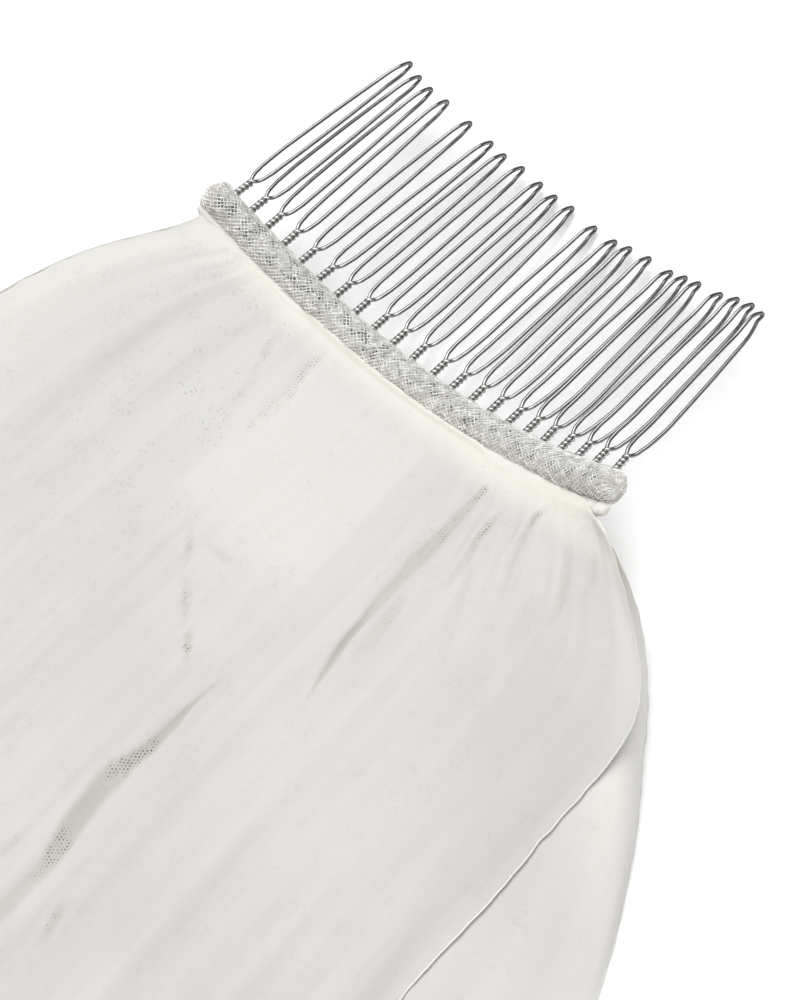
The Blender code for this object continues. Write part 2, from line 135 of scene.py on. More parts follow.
# The upper tier's creases: depth and lip (mm), then points of x, y, half width (mm), how dark
# the crease is and how far its net opens (both 0 to 1).
# dark and net paint shade: the crease's grey, and the shadow seen through its open net
CREASES = (
    # The long crease right of the label, and two short ones beside it
    (0.4, 0.25, (
        (24.1, -8.7, 0.8, 0.3, 0.8), (24.2, -11.0, 0.7, 0.3, 0.7), (24.1, -13.5, 1.0, 0.3, 0.6),
        (24.2, -16.7, 1.0, 0.35, 0.5), (24.2, -20.3, 1.4, 0.35, 0.4), (23.9, -23.6, 1.4, 0.35, 0.2),
        (24.2, -27.2, 0.8, 0.35, 0.15), (24.4, -31.7, 1.0, 0.3, 0.1), (24.8, -36.1, 0.5, 0.5, 0.1),
        (25.0, -39.8, 0.6, 0.6, 0.25), (25.8, -43.4, 0.6, 0.5, 0.1), (26.5, -46.7, 0.4, 0.45, 0.0),
        (27.5, -50.7, 0.3, 0.15, 0.0),
    )),
    (0.35, 0.25, (
        (29.0, -10.5, 0.5, 0.1, 0.3), (29.1, -13.3, 0.7, 0.35, 0.8), (29.4, -16.2, 0.5, 0.3, 0.5),
        (30.4, -19.6, 0.7, 0.2, 0.3), (30.8, -24.4, 0.7, 0.1, 0.1),
    )),
    (0.3, 0.2, (
        (35.1, -6.3, 0.5, 0.1, 0.3), (34.3, -8.7, 0.8, 0.35, 0.8), (34.7, -11.0, 0.5, 0.25, 0.4),
        (36.0, -15.7, 0.8, 0.12, 0.25), (38.0, -20.1, 0.7, 0.05, 0.05),
    )),
    # Faint troughs towards the right edge
    (0.15, 0.1, (
        (26.7, -29.4, 0.8, 0.1, 0.1), (27.2, -32.6, 1.3, 0.2, 0.35), (28.0, -37.2, 1.3, 0.15, 0.2),
        (28.3, -41.2, 1.0, 0.08, 0.05),
    )),
    (0.2, 0.1, (
        (42.5, -9.8, 0.8, 0.12, 0.2), (44.6, -12.8, 1.0, 0.2, 0.35), (47.0, -16.7, 1.0, 0.2, 0.35),
        (48.1, -19.9, 0.8, 0.12, 0.15),
    )),
    (0.15, 0.1, (
        (47.1, -9.5, 0.8, 0.08, 0.15), (48.4, -11.4, 1.0, 0.15, 0.35), (49.8, -13.6, 0.8, 0.05, 0.1),
    )),
    (0.3, 0.15, (
        (43.6, -18.7, 1.2, 0.05, 0.05), (45.1, -23.4, 1.7, 0.1, 0.12), (46.9, -27.8, 1.3, 0.07, 0.08),
        (49.6, -33.2, 1.3, 0.03, 0.02),
    )),
    (0.2, 0.1, (
        (31.6, -19.7, 0.8, 0.1, 0.2), (33.4, -23.3, 0.8, 0.1, 0.2), (36.6, -30.7, 1.0, 0.08, 0.1),
        (39.2, -35.0, 1.0, 0.06, 0.05),
    )),
    # The deep fold in the middle, open over the lower tier
    (0.35, 0.15, (
        (15.9, -57.1, 0.3, 0.15, 0.0), (15.7, -59.6, 0.3, 0.4, 0.0), (15.5, -62.6, 0.4, 0.5, 0.1),
        (15.7, -65.8, 0.8, 0.45, 0.15), (15.7, -68.5, 0.8, 0.45, 0.5), (15.6, -70.9, 1.1, 0.5, 1.0),
        (15.0, -74.4, 1.2, 0.5, 1.0), (14.5, -77.0, 2.2, 0.4, 0.7), (14.5, -80.1, 2.0, 0.5, 0.3),
        (14.9, -82.9, 1.8, 0.55, 0.0), (15.3, -86.6, 2.0, 0.5, 0.1), (16.0, -89.1, 1.8, 0.45, 0.9),
        (16.7, -92.3, 1.6, 0.4, 0.8), (17.0, -95.0, 1.3, 0.3, 0.4), (16.9, -98.7, 1.3, 0.25, 0.1),
        (17.0, -103.2, 1.5, 0.25, 0.2),
    )),
    (0.4, 0.2, (
        (23.5, -96.3, 0.8, 0.12, 0.1), (24.1, -98.6, 1.0, 0.25, 0.4), (24.9, -101.0, 0.7, 0.25, 0.6),
        (25.3, -102.6, 0.5, 0.1, 0.1),
    )),
    (0.3, 0.15, (
        (10.8, -93.0, 0.5, 0.15, 0.3), (10.5, -95.2, 0.7, 0.2, 0.5), (10.1, -97.7, 0.7, 0.15, 0.3),
    )),
    # Short dips past the label's foot
    (0.3, 0.1, (
        (-5.1, -41.5, 0.5, 0.1, 0.2), (-3.1, -43.8, 0.6, 0.3, 0.6), (-1.5, -46.1, 0.5, 0.1, 0.2),
    )),
    (0.3, 0.1, (
        (0.4, -48.3, 0.5, 0.1, 0.3), (3.0, -50.9, 0.8, 0.25, 0.7), (5.3, -53.4, 0.5, 0.1, 0.3),
    )),
    (0.4, 0.1, (
        (6.6, -53.9, 0.5, 0.2, 0.5), (8.3, -55.8, 0.7, 0.4, 0.9), (9.8, -57.6, 0.5, 0.15, 0.3),
    )),
    (0.2, 0.1, (
        (-1.4, -42.2, 0.5, 0.1, 0.1), (1.7, -42.1, 0.6, 0.22, 0.3), (5.7, -42.3, 0.5, 0.05, 0.1),
    )),
    # Open net left of the label
    (0.2, 0.1, (
        (-19.3, -8.0, 0.7, 0.05, 0.3), (-18.8, -11.0, 0.9, 0.1, 0.5), (-17.5, -14.5, 0.7, 0.1, 0.5),
        (-16.1, -17.7, 0.7, 0.05, 0.3), (-15.4, -23.9, 0.9, 0.03, 0.2),
    )),
    (0.2, 0.1, (
        (-11.7, -6.6, 0.7, 0.05, 0.5), (-11.7, -10.3, 0.9, 0.08, 0.6), (-10.8, -14.5, 1.0, 0.05, 0.5),
        (-10.9, -20.5, 1.2, 0.05, 0.45), (-10.7, -25.5, 1.0, 0.03, 0.2),
    )),
    # Wide soft troughs
    (0.15, 0.1, (
        (-24.0, -8.0, 1.1, 0.0, 0.0), (-28.0, -45.0, 1.4, 0.04, 0.0), (-32.0, -70.0, 1.6, 0.0, 0.0),
    )),
    (0.15, 0.1, (
        (-31.0, -8.0, 1.2, 0.0, 0.0), (-38.0, -52.0, 1.6, 0.04, 0.0), (-44.0, -90.0, 1.8, 0.0, 0.0),
    )),
    (0.15, 0.15, (
        (-12.6, -18.0, 1.3, 0.0, 0.0), (-13.6, -48.4, 1.6, 0.04, 0.0), (-18.0, -100.0, 2.0, 0.0, 0.0),
    )),
    (0.2, 0.15, (
        (-8.0, -84.0, 2.4, 0.04, 0.0), (-3.6, -59.9, 2.4, 0.04, 0.0), (-1.0, -46.0, 2.0, 0.0, 0.0),
    )),
    (0.15, 0.1, (
        (20.0, -30.0, 2.2, 0.0, 0.0), (19.0, -62.0, 2.6, 0.02, 0.0), (34.0, -112.0, 3.0, 0.0, 0.0),
    )),
    (0.15, 0.1, (
        (34.0, -30.0, 2.2, 0.0, 0.0), (45.0, -70.0, 2.8, 0.02, 0.0), (52.0, -96.0, 3.0, 0.0, 0.0),
    )),
    (0.25, 0.15, (
        (55.0, -40.0, 2.6, 0.0, 0.0), (63.9, -62.7, 3.2, 0.05, 0.0), (80.0, -110.0, 4.0, 0.05, 0.0),
    )),
)


def smooth(t):
    """A soft step: 3t^2 - 2t^3, with t held from 0 to 1."""
    t = np.clip(t, 0.0, 1.0)
    return t * t * (3.0 - 2.0 * t)


def spine(u, forward, up):
    """The point at arc length u, forward of the spine and up from it: a circle of radius
    R - up by the angle u / R, bowed forward by BOW (u / half)^2 and sloped down to the tips."""
    angle = u / ARCH_RADIUS
    x = (ARCH_RADIUS - up) * np.sin(angle)
    y = forward + BOW * (u / HALF_SPINE) ** 2
    z = ARCH_RADIUS - (ARCH_RADIUS - up) * np.cos(angle) + SPINE_HEIGHT - TIP_SLOPE * forward
    return np.stack(np.broadcast_arrays(x, y, z), axis=-1)


def heading_half(side):
    """Half the heading's length on the side that is asked."""
    return np.where(side > 0, TIER_RIGHT, TIER_LEFT)


def spread(tier, back, right):
    """A side edge's spread: quick (1 - e^(-back / over)) + slow back^2 / (back + after) - tuck."""
    quick, over, slow, after, tuck, tuck_at = FAN[tier]["right" if right else "left"]
    drawn_in = tuck * back / tuck_at * np.exp(1.0 - back / tuck_at)
    return quick * (1.0 - np.exp(-back / over)) + slow * back**2 / (back + after) - drawn_in


def fan(tier, side, back):
    """The even and the outer share of the spread: x = even * side + outer * side * |side|."""
    flare = np.where(side > 0, spread(tier, back, True), spread(tier, back, False))
    mix = back / (back + EVEN_FAN_AFTER)
    return heading_half(side) + flare * mix, flare * (1.0 - mix)


def side_of(tier, x, back):
    """The place across the fan at x: the root of x = even * side + outer * side * |side|."""
    even, outer = fan(tier, x, back)
    outer = np.maximum(outer, 1e-6)
    return np.sign(x) * (np.sqrt(even**2 + 4.0 * outer * np.abs(x)) - even) / (2.0 * outer)


def behind(side, back):
    """The y of a place: the slanted, bowed heading, fading to straight across, less back."""
    u = side * heading_half(side)
    heading = BOW * (u / HALF_SPINE) ** 2 - HEADING_SLANT * u / TIER_RIGHT
    return heading * np.exp(-back / HEADING_FADE) - TIER_BACK - back


def folds(rows, tier, x, back):
    """The highest of the raised folds: height * (1 - smooth(offset / width)) * rise, where the
    width grows with the fan and the rise comes in over FOLD_RISE and eases over FOLD_FALL. Near
    the comb, where the cloth was smoothed down by hand, they keep FOLD_NEAR_COMB of it."""
    total = np.zeros_like(x)
    for side, start, end, width, height in rows:
        even, outer = fan(tier, np.full_like(x, side), back)
        stretch = (even + 2.0 * outer * abs(side)) / heading_half(side)
        offset = np.abs(x - even * side - outer * side * abs(side)) / (width * stretch)
        eased_out = FOLD_AT_HEM + (1.0 - FOLD_AT_HEM) * smooth((end - back) / FOLD_FALL)
        rise = smooth((back - start) / FOLD_RISE) * eased_out
        total = np.maximum(total, height * (1.0 - smooth(offset)) * rise)
    free = smooth((back - FOLD_FREE_FROM) / FOLD_FREE_OVER)
    return total * (FOLD_NEAR_COMB + (1.0 - FOLD_NEAR_COMB) * free)


def lower_height(x, back):
    """The lower tier's underside: heading height easing to the floor, a soft puff, and folds."""
    side = np.clip(side_of("lower", x, back), -1.0, 1.0)
    heading = spine(side * heading_half(side), -TIER_BACK, -TIER_DROP)[..., 2]
    drape = heading * (1.0 - smooth(back / (LAY_DOWN + LAY_DOWN_ENDS * np.abs(side))))
    puff = smooth(back / PUFF_BACK) * (1.0 - smooth((back - PUFF_BACK) / PUFF_REACH))
    return drape + PUFF_HEIGHT * puff * (1.0 - side**2) ** 2 + folds(LOWER_FOLDS, "lower", x, back)


def above(height, x, back, wall):
    """A wall's upper face: height + wall * sqrt(1 + slope^2)."""
    step = 0.5
    slope_x = (height(x + step, back) - height(x - step, back)) / (2.0 * step)
    slope_y = (height(x, back + step) - height(x, np.maximum(back - step, 0.0))) / (2.0 * step)
    return height(x, back) + wall * np.sqrt(1.0 + slope_x**2 + slope_y**2)


def upper_height(x, back):
    """The upper tier's underside: on the lower tier's upper face, over the label, and folds."""
    beside = smooth((LABEL_WIDTH / 2 + LABEL_MARGIN[0] - np.abs(x)) / LABEL_FADE[0])
    below = smooth((LABEL_LENGTH + LABEL_MARGIN[1] - back) / LABEL_FADE[1])
    label = (LABEL_WALL + LABEL_GAP) * beside * below
    return above(lower_height, x, back, WALL) + TIER_GAP + label + folds(UPPER_FOLDS, "upper", x, back)


def waves(t, low, high, count, seed, drift=0.0):
    """Uneven waves about 0: the mean of count sines of t, with seeded frequencies from low to
    high, phases and shares. Their phases turn with drift."""
    draw = np.random.RandomState(seed)
    total = np.zeros(np.broadcast(t, drift).shape)
    for frequency, phase, share, turn in zip(
        draw.uniform(low, high, count), draw.uniform(0.0, 2 * math.pi, count),
        draw.uniform(0.5, 1.0, count), draw.uniform(-1.0, 1.0, count),
    ):
        total += share * np.sin(frequency * t + phase + turn * drift)
    return total / math.sqrt(count)


def off_line(line, x, y):
    """For each point: its distance from a line of points, the side that it is on (-1 or 1) and
    the share of the line's length where it is nearest."""
    line = np.array(line)
    lengths = np.hypot(*np.diff(line, axis=0).T)
    before = np.concatenate([[0.0], np.cumsum(lengths)])
    best, flank, share = np.full(x.shape, 1e9), np.ones(x.shape), np.zeros(x.shape)
    for (ax, ay), (bx, by), length, start in zip(line[:-1], line[1:], lengths, before):
        dx, dy = (bx - ax) / length, (by - ay) / length
        along = np.clip((x - ax) * dx + (y - ay) * dy, 0.0, length)
        px, py = x - ax - along * dx, y - ay - along * dy
        distance = np.hypot(px, py)
        nearer = distance < best
        best = np.where(nearer, distance, best)
        flank = np.where(nearer, np.sign(px * dy - py * dx), flank)
        share = np.where(nearer, (start + along) / before[-1], share)
    return best, flank, share


def creases(rows, x, y):
    """(height, dark, net) of the creases: -depth e^-(d/width)^2 with a lip 1.8 widths to one
    side, both tapering to nothing at the two ends. dark and net are read along the crease and fade
    over its edge, from 0.5 to 1.2 widths."""
    # dark and net paint shade: the crease's grey, and the shadow seen through its open net
    height, dark, net = np.zeros(x.shape), np.zeros(x.shape), np.zeros(x.shape)
    for depth, lip, points in rows:
        table = np.array(points)
        distance, flank, share = off_line(table[:, :2], x, y)
        places = np.concatenate([[0.0], np.cumsum(np.hypot(*np.diff(table[:, :2], axis=0).T))])
        places /= places[-1]
        width = np.interp(share, places, table[:, 2])
        taper = smooth(share / 0.2) * smooth((1.0 - share) / 0.2)
        inside = 1.0 - smooth((distance / width - 0.5) / 0.7)
        height -= depth * np.exp(-((distance / width) ** 2)) * taper
        height += lip * np.exp(-(((distance * flank - 1.8 * width) / (1.3 * width)) ** 2)) * taper
        dark = np.maximum(dark, np.interp(share, places, table[:, 3]) * inside)
        net = np.maximum(net, np.interp(share, places, table[:, 4]) * inside)
    return height, dark, net


def surface(name, points, finish, joined=False, capped=False, uv=None, marks=None):
    """A grid of points (rows, columns) in mm as a smooth mesh in the frame. joined closes each
    row on itself, and capped closes the first and last row with a face."""
    rows, columns = points.shape[:2]
    index = np.arange(rows * columns).reshape(rows, columns)
    wrapped = np.hstack([index, index[:, :1]]) if joined else index
    quads = np.stack([wrapped[:-1, :-1], wrapped[1:, :-1], wrapped[1:, 1:], wrapped[:-1, 1:]], axis=-1)
    faces = quads.reshape(-1, 4).tolist()
    if capped:
        faces += [index[0].tolist(), index[-1, ::-1].tolist()]
    return mesh_piece(name, points.reshape(-1, 3), faces, finish, uv, marks)


def mesh_piece(name, points, faces, finish, uv=None, marks=None):
    """Points in mm of the comb's own coordinates and faces, as an object at the origin."""
    mesh = bpy.data.meshes.new(name)
    mesh.from_pydata(((points + PLACE) * MM).tolist(), [], faces)
    if uv is not None:
        corner = np.empty(len(mesh.loops), dtype=np.int32)
        mesh.loops.foreach_get("vertex_index", corner)
        layer = mesh.uv_layers.new(name="cloth")
        layer.data.foreach_set("uv", uv.reshape(-1, 2)[corner].astype(np.float32).ravel())
    for key, values in (marks or {}).items():
        mark = mesh.attributes.new(key, "FLOAT", "POINT")
        mark.data.foreach_set("value", values.astype(np.float32).ravel())
    mesh.shade_smooth()
    mesh.materials.append(finish)
    piece = bpy.data.objects.new(name, mesh)
    bpy.context.scene.collection.objects.link(piece)
    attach(piece, "root")
    return piece


def unit(vectors):
    """Each vector divided by its length."""
    return vectors / np.maximum(np.linalg.norm(vectors, axis=-1, keepdims=True), 1e-9)


def tubes(name, paths, reference, radius, sides, finish):
    """Round tubes along paths (path, point, xyz): p + r (cos a * across + sin a * out), where
    across = tangent x reference and out = across x tangent. Both ends are closed."""
    tangent = unit(np.gradient(paths, axis=1))
    across = unit(np.cross(tangent, reference))
    out = np.cross(across, tangent)
    angle = np.linspace(0.0, 2 * math.pi, sides, endpoint=False)[:, None]
    thick = np.broadcast_to(np.asarray(radius, float), paths.shape[:2])[:, :, None, None]
    rings = paths[:, :, None] + thick * (
        np.cos(angle) * across[:, :, None] + np.sin(angle) * out[:, :, None]
    )
    count, length = paths.shape[:2]
    index = np.arange(count * length * sides).reshape(count, length, sides)
    around = np.concatenate([index, index[:, :, :1]], axis=2)
    quads = np.stack(
        [around[:, :-1, :-1], around[:, 1:, :-1], around[:, 1:, 1:], around[:, :-1, 1:]], axis=-1
    )
    faces = quads.reshape(-1, 4).tolist() + index[:, 0].tolist() + index[:, -1, ::-1].tolist()
    return mesh_piece(name, rings.reshape(-1, 3), faces, finish)


# Materials

# Settings that shader nodes share: a soft step, a mix of two colours, and a Math node's sum
SOFT_STEP = {"interpolation_type": "SMOOTHSTEP"}
COLOUR_MIX = {"data_type": "RGBA", "out": 2}
TIMES, PLUS, LESS = ({"operation": operation} for operation in ("MULTIPLY", "ADD", "SUBTRACT"))


def linear(code):
    """An sRGB hex colour as linear RGBA: c / 12.92 under 0.04045, else ((c + .055) / 1.055)^2.4."""
    values = [int(code[i : i + 2], 16) / 255 for i in (1, 3, 5)]
    return (*[c / 12.92 if c <= 0.04045 else ((c + 0.055) / 1.055) ** 2.4 for c in values], 1.0)


def node(tree, kind, sockets=None, out=0, **settings):
    """Adds a shader node with its settings, links or sets its sockets (name or number: source),
    and returns its output socket."""
    made = tree.nodes.new("ShaderNode" + kind)
    for key, value in settings.items():
        setattr(made, key, value)
    for socket, source in (sockets or {}).items():
        if isinstance(source, bpy.types.NodeSocket):
            tree.links.new(source, made.inputs[socket])
        else:
            made.inputs[socket].default_value = source
    return made.outputs[out]


def principled(name, colour, roughness, **values):
    """A new material: (material, its tree, its Principled shader with these socket values)."""
    made = bpy.data.materials.new(name)
    made.use_nodes = True
    shader = made.node_tree.nodes["Principled BSDF"]
    shader.inputs["Base Color"].default_value = linear(colour)
    shader.inputs["Roughness"].default_value = roughness
    for key, value in values.items():
        shader.inputs[key.replace("_", " ")].default_value = value
    return made, made.node_tree, shader


def hexagons(tree, place, cell, turn):
    """A hexagonal net of cells (mm) turned by degrees: cos(a.p) + cos(b.p) + cos(c.p), with
    a, b and c 60 degrees apart. It is 3 in the middle of a hole and below 0 on the threads."""
    wave = 4 * math.pi / (math.sqrt(3) * cell * MM)
    total = None
    for angle in np.radians((turn, turn + 60.0, turn + 120.0)):
        along = (wave * math.cos(angle), wave * math.sin(angle), 0.0)
        dot = node(tree, "VectorMath", {0: place, 1: along}, "Value", operation="DOT_PRODUCT")
        cosine = node(tree, "Math", {0: dot}, operation="COSINE")
        total = cosine if total is None else node(tree, "Math", {0: total, 1: cosine}, **PLUS)
    return total


def nylon_tulle(name, colour, light):
    """Nylon tulle: bobbinet knitted of fine nylon, dyed off-white, soft and matt.

    Its cells are TULLE_CELL wide. Gathered in many layers it looks like one white cloth, with faint
    specks of painted shade where the holes of two layers meet, and fine wrinkles whose lines get
    painted shade. In a crease over a shadow its threads show light on grey, a painted shade, and
    where its net opens the holes show painted shadow. Over the white label the cloth looks paler.
    The same pale colour makes the upper tier paler towards its left edge and paints light on the
    lower tier's rounded side edges.
    """
    made, tree, shader = principled(name, colour, 0.75, Sheen_Weight=0.1, Sheen_Roughness=0.5,
                                    Specular_IOR_Level=0.2)
    place = node(tree, "TexCoord", out="Object")
    cover, specked, dark, net, pale, warm = (
        node(tree, "Attribute", out="Fac", attribute_name=key)
        for key in ("cover", "specks", "dark", "net", "pale", "warm")
    )

    def moved(by, scale, source):
        """The source, pushed about by a noise of the same space."""
        drift = node(tree, "TexNoise", {"Vector": place, "Scale": scale, "Detail": 2.0}, "Color")
        shift = node(tree, "VectorMath", {0: drift, 1: (by,) * 3}, **TIMES)
        return node(tree, "VectorMath", {0: source, 1: shift}, **PLUS)

    # The net, a little drawn out of shape at two scales, and its holes
    warped = moved(0.0005, 900.0, moved(0.0014, 110.0, place))
    front = hexagons(tree, warped, TULLE_CELL, TULLE_TURN)
    holes = node(tree, "MapRange", {"Value": front, "From Min": 0.1, "From Max": 1.1}, **SOFT_STEP)
    # Specks of painted shade, in patches
    cloudy = node(tree, "TexNoise", {"Vector": place, "Scale": 260.0, "Detail": 3.0})
    patchy = node(tree, "MapRange", {"Value": cloudy, "From Min": 0.5, "From Max": 0.62}, **SOFT_STEP)
    grain = node(tree, "TexNoise", {"Vector": place, "Scale": 1700.0, "Detail": 1.0})
    fine = node(tree, "MapRange", {"Value": grain, "From Min": 0.58, "From Max": 0.7}, **SOFT_STEP)
    fine_patches = node(tree, "Math", {0: fine, 1: patchy}, **TIMES)
    specks = node(tree, "Math", {0: fine_patches, 1: specked}, **TIMES)
    # Soft clouds and long streaks of the layers below: 46 across the panel and 7 along it
    soft = node(tree, "TexNoise", {"Vector": place, "Scale": 28.0, "Detail": 4.0})
    cloth = node(tree, "UVMap", uv_map="cloth")
    drawn = node(tree, "VectorMath", {0: cloth, 1: (46.0, 7.0, 1.0)}, **TIMES)
    streaks = node(tree, "TexNoise", {"Vector": drawn, "Scale": 1.0, "Detail": 4.0})
    streaked = node(tree, "Math", {0: streaks, 1: 0.7}, **TIMES)
    tone = node(tree, "Math", {0: soft, 1: streaked}, **PLUS)
    lit = node(tree, "MapRange", {"Value": tone, "From Min": 0.6, "From Max": 1.1}, **SOFT_STEP)
    # Fine wrinkles, painted as shade where a twisted noise crosses its middle value
    wrinkles = node(tree, "TexNoise", {
        "Vector": place, "Scale": 300.0, "Detail": 3.0, "Distortion": 1.5,
    })
    above_middle = node(tree, "Math", {0: wrinkles, 1: 0.5}, **LESS)
    from_line = node(tree, "Math", {0: above_middle}, operation="ABSOLUTE")
    creased = node(tree, "MapRange", {
        "Value": from_line, "From Min": 0.0, "From Max": 0.03, "To Min": 0.15, "To Max": 0.0,
    }, **SOFT_STEP)
    painted_wrinkle_shade = node(tree, "Math", {0: creased, 1: patchy}, **TIMES)
    # Open net over painted shadow, broken up unevenly
    uneven = node(tree, "TexNoise", {"Vector": place, "Scale": 800.0, "Detail": 2.0})
    some_net = node(tree, "Math", {0: net, 1: 0.3}, **TIMES)
    wider = node(tree, "Math", {0: uneven, 1: some_net}, **PLUS)
    hole = node(tree, "MapRange", {"Value": front, "From Min": 0.5, "From Max": 1.7}, **SOFT_STEP)
    open_net = node(tree, "Math", {0: net, 1: hole}, **TIMES)
    kept = node(tree, "MapRange", {"Value": wider, "From Min": 0.55, "From Max": 0.85}, **SOFT_STEP)
    broken = node(tree, "Math", {0: open_net, 1: kept}, **TIMES)
    # Each share lays its colour over those before it. dark, the wrinkle lines, the specks and the
    # broken open net are painted shade, and pale is partly painted light
    shade = linear(colour)
    for share, over in ((lit, light), (pale, "#DAD8D3"), (warm, "#DEDBD3"), (dark, "#A19B92"),
                        (painted_wrinkle_shade, "#A5A099"), (specks, "#858380"), (broken, "#57524C")):
        shade = node(tree, "Mix", {0: share, 6: shade, 7: linear(over)}, **COLOUR_MIX)
    tree.links.new(shade, shader.inputs["Base Color"])
    bare = node(tree, "Math", {0: 1.0, 1: cover}, **LESS)
    gaps = node(tree, "Math", {0: holes, 1: bare}, **TIMES)
    tree.links.new(node(tree, "Math", {0: 1.0, 1: gaps}, **LESS), shader.inputs["Alpha"])
    bump = node(tree, "Bump", {"Height": front, "Strength": 0.05, "Distance": 0.00004})
    wrinkled = node(tree, "Bump", {
        "Height": wrinkles, "Strength": 0.12, "Distance": 0.0004, "Normal": bump,
    })
    tree.links.new(wrinkled, shader.inputs["Normal"])
    return made


def steel():
    """Drawn steel wire: bright, with faint draw marks and a little unevenness. Where it makes the
    shanks, up to 6 mm in front of the spine, its colour is lighter: painted light for the
    highlights that their turns catch."""
    made, tree, shader = principled("drawn_steel_wire", "#9C9C9B", 0.2, Metallic=1.0)
    place = node(tree, "TexCoord", out="Object")
    marks = node(tree, "TexNoise", {"Vector": place, "Scale": 900.0, "Detail": 3.0})
    rough = node(tree, "MapRange", {
        "Value": marks, "From Min": 0.3, "From Max": 0.7, "To Min": 0.1, "To Max": 0.24,
    }, **SOFT_STEP)
    tree.links.new(rough, shader.inputs["Roughness"])
    drawn = node(tree, "Mix", {0: marks, 6: linear("#7C7C7B"), 7: linear("#9C9C9B")}, **COLOUR_MIX)
    # Painted light: a lighter colour on the shanks for the highlights their turns catch
    along = node(tree, "SeparateXYZ", {0: place}, "Y")
    shank = node(tree, "MapRange", {
        "Value": along, "From Min": (PLACE[1] + 6.0) * MM, "From Max": (PLACE[1] + 7.8) * MM,
        "To Min": 1.0, "To Max": 0.0,
    }, **SOFT_STEP)
    final = node(tree, "Mix", {0: shank, 6: drawn, 7: linear("#B0B0AE")}, **COLOUR_MIX)
    tree.links.new(final, shader.inputs["Base Color"])
    return made


def net_thread():
    """Stiff nylon net for millinery: clear round thread, which glints."""
    made, tree, shader = principled("stiff_nylon_net", "#E4E3DF", 0.28, Specular_IOR_Level=0.6)
    place = node(tree, "TexCoord", out="Object")
    cloudy = node(tree, "TexNoise", {"Vector": place, "Scale": 900.0, "Detail": 3.0})
    worn = node(tree, "MapRange", {"Value": cloudy, "From Min": 0.35, "From Max": 0.65}, **SOFT_STEP)
    thread = node(tree, "Mix", {0: worn, 6: linear("#D4D2CD"), 7: linear("#FAF9F6")}, **COLOUR_MIX)
    tree.links.new(thread, shader.inputs["Base Color"])
    return made


def wrap_lining():
    """What shows through the wrap's net, painted on the binding: grey steel and painted shade in
    spots, milky film where layers of net lie close, and ivory cloth below."""
    made, tree, shader = principled("ivory_binding_painted_shade", "#E3DED3", 0.7)
    place = node(tree, "TexCoord", out="Object")
    deep, film = (node(tree, "Attribute", out="Fac", attribute_name=key) for key in ("deep", "film"))
    # Spots of painted shade and grey steel
    cloudy = node(tree, "TexNoise", {"Vector": place, "Scale": 560.0, "Detail": 3.0})
    spots = node(tree, "MapRange", {"Value": cloudy, "From Min": 0.4, "From Max": 0.54}, **SOFT_STEP)
    shadow = node(tree, "Mix", {0: spots, 6: linear("#3C3B39"), 7: linear("#DEDCD7")}, **COLOUR_MIX)
    milky = node(tree, "Mix", {0: film, 6: shadow, 7: linear("#DBDAD7")}, **COLOUR_MIX)
    final = node(tree, "Mix", {0: deep, 6: linear("#E3DED3"), 7: milky}, **COLOUR_MIX)
    tree.links.new(final, shader.inputs["Base Color"])
    return made


def rolled_tulle():
    """Nylon tulle rolled tight and stitched: many layers, so it looks solid and warm ivory."""
    made, tree, shader = principled("rolled_nylon_tulle", "#DFDCD2", 0.7, Sheen_Weight=0.15)
    place = node(tree, "TexCoord", out="Object")
    grain = node(tree, "TexNoise", {"Vector": place, "Scale": 260.0, "Detail": 5.0})
    layers = node(tree, "Mix", {0: grain, 6: linear("#D8D5CD"), 7: linear("#E2DFD8")}, **COLOUR_MIX)
    tree.links.new(layers, shader.inputs["Base Color"])
    bump = node(tree, "Bump", {"Height": grain, "Strength": 0.15, "Distance": 0.0002})
    tree.links.new(bump, shader.inputs["Normal"])
    return made


def label_satin():
    """Woven polyester satin: long floats 0.25 mm wide run across the tab and give it a soft gloss."""
    made, tree, shader = principled("polyester_satin", "#F1F0ED", 0.38, Sheen_Weight=0.1)
    place = node(tree, "TexCoord", out="Object")
    floats = node(tree, "TexWave", {"Vector": place, "Scale": 640.0, "Distortion": 0.6}, "Fac",
                  bands_direction="Y")
    bump = node(tree, "Bump", {"Height": floats, "Strength": 0.3, "Distance": 0.00006})
    tree.links.new(bump, shader.inputs["Normal"])
    # Painted sheen: the floats are lighter and darker in colour along their bands
    gloss = node(tree, "Mix", {0: floats, 6: linear("#E7E6E2"), 7: linear("#F6F5F2")}, **COLOUR_MIX)
    tree.links.new(gloss, shader.inputs["Base Color"])
    return made


STEEL = steel()
NET = net_thread()
LINING = wrap_lining()
ROLLED = rolled_tulle()
SATIN = label_satin()
UPPER_TULLE = nylon_tulle("nylon_tulle_upper", "#C6C4C0", "#CFCDC9")
LOWER_TULLE = nylon_tulle("nylon_tulle_lower", "#C8C6C2", "#D1CFCB")
# Nylon sewing thread along the cut edges, paler than the tulle
EDGE_THREAD = principled("nylon_edge_thread", "#E3E1DD", 0.6)[0]

# Comb loops


